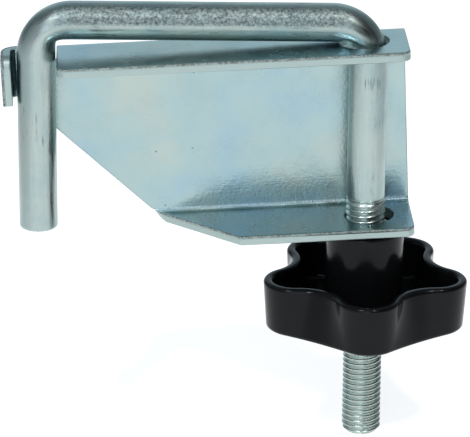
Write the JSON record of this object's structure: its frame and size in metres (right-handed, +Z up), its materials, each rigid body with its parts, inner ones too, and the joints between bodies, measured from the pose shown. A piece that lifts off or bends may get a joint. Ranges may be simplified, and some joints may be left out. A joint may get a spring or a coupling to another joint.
{
  "type": "hook bolt clamp",
  "caption": "Folded zinc-plated bracket with a bent hook rod drawn down by a black star knob, clamping a rail or lip between hook and flange.",
  "frame": {"origin": "on the back face of the bracket's web, straight behind the rod holes and half way between the flanges' outer faces", "axes": "+Z up along the web, +X from the hook's free leg towards the knob, +Y out of the web's back face"},
  "size_m": [0.1383, 0.0602, 0.1436],
  "materials": {
    "zinc_sheet": "zinc plated with blue passivation, rolled sheet",
    "zinc_rod": "zinc plated drawn bar",
    "black_plastic": "moulded, glossy",
    "insert_steel": "turned, zinc plated"
  },
  "bodies": {
    "bracket": {"bracket": "zinc_sheet"},
    "hook": {"hook_rod": "zinc_rod"},
    "knob": {"knob_body": "black_plastic", "knob_insert": "insert_steel"}
  },
  "joints": [
    {"name": "knob_spin", "type": "hinge", "parent": "bracket", "child": "knob", "pos_m": [-0.00137, -0.014, -0.03017], "axis": [-0.0454, 0, -0.999], "range_deg": [0, 7200]},
    {"name": "hook_lift", "type": "slide", "parent": "bracket", "child": "hook", "axis": [0.0454, 0, 0.999], "range_m": [0, 0.035]}
  ],
  "couplings": [
    {"joint": "knob_spin", "follows": "hook_lift", "rad_per_m": 3590.4}
  ]
}
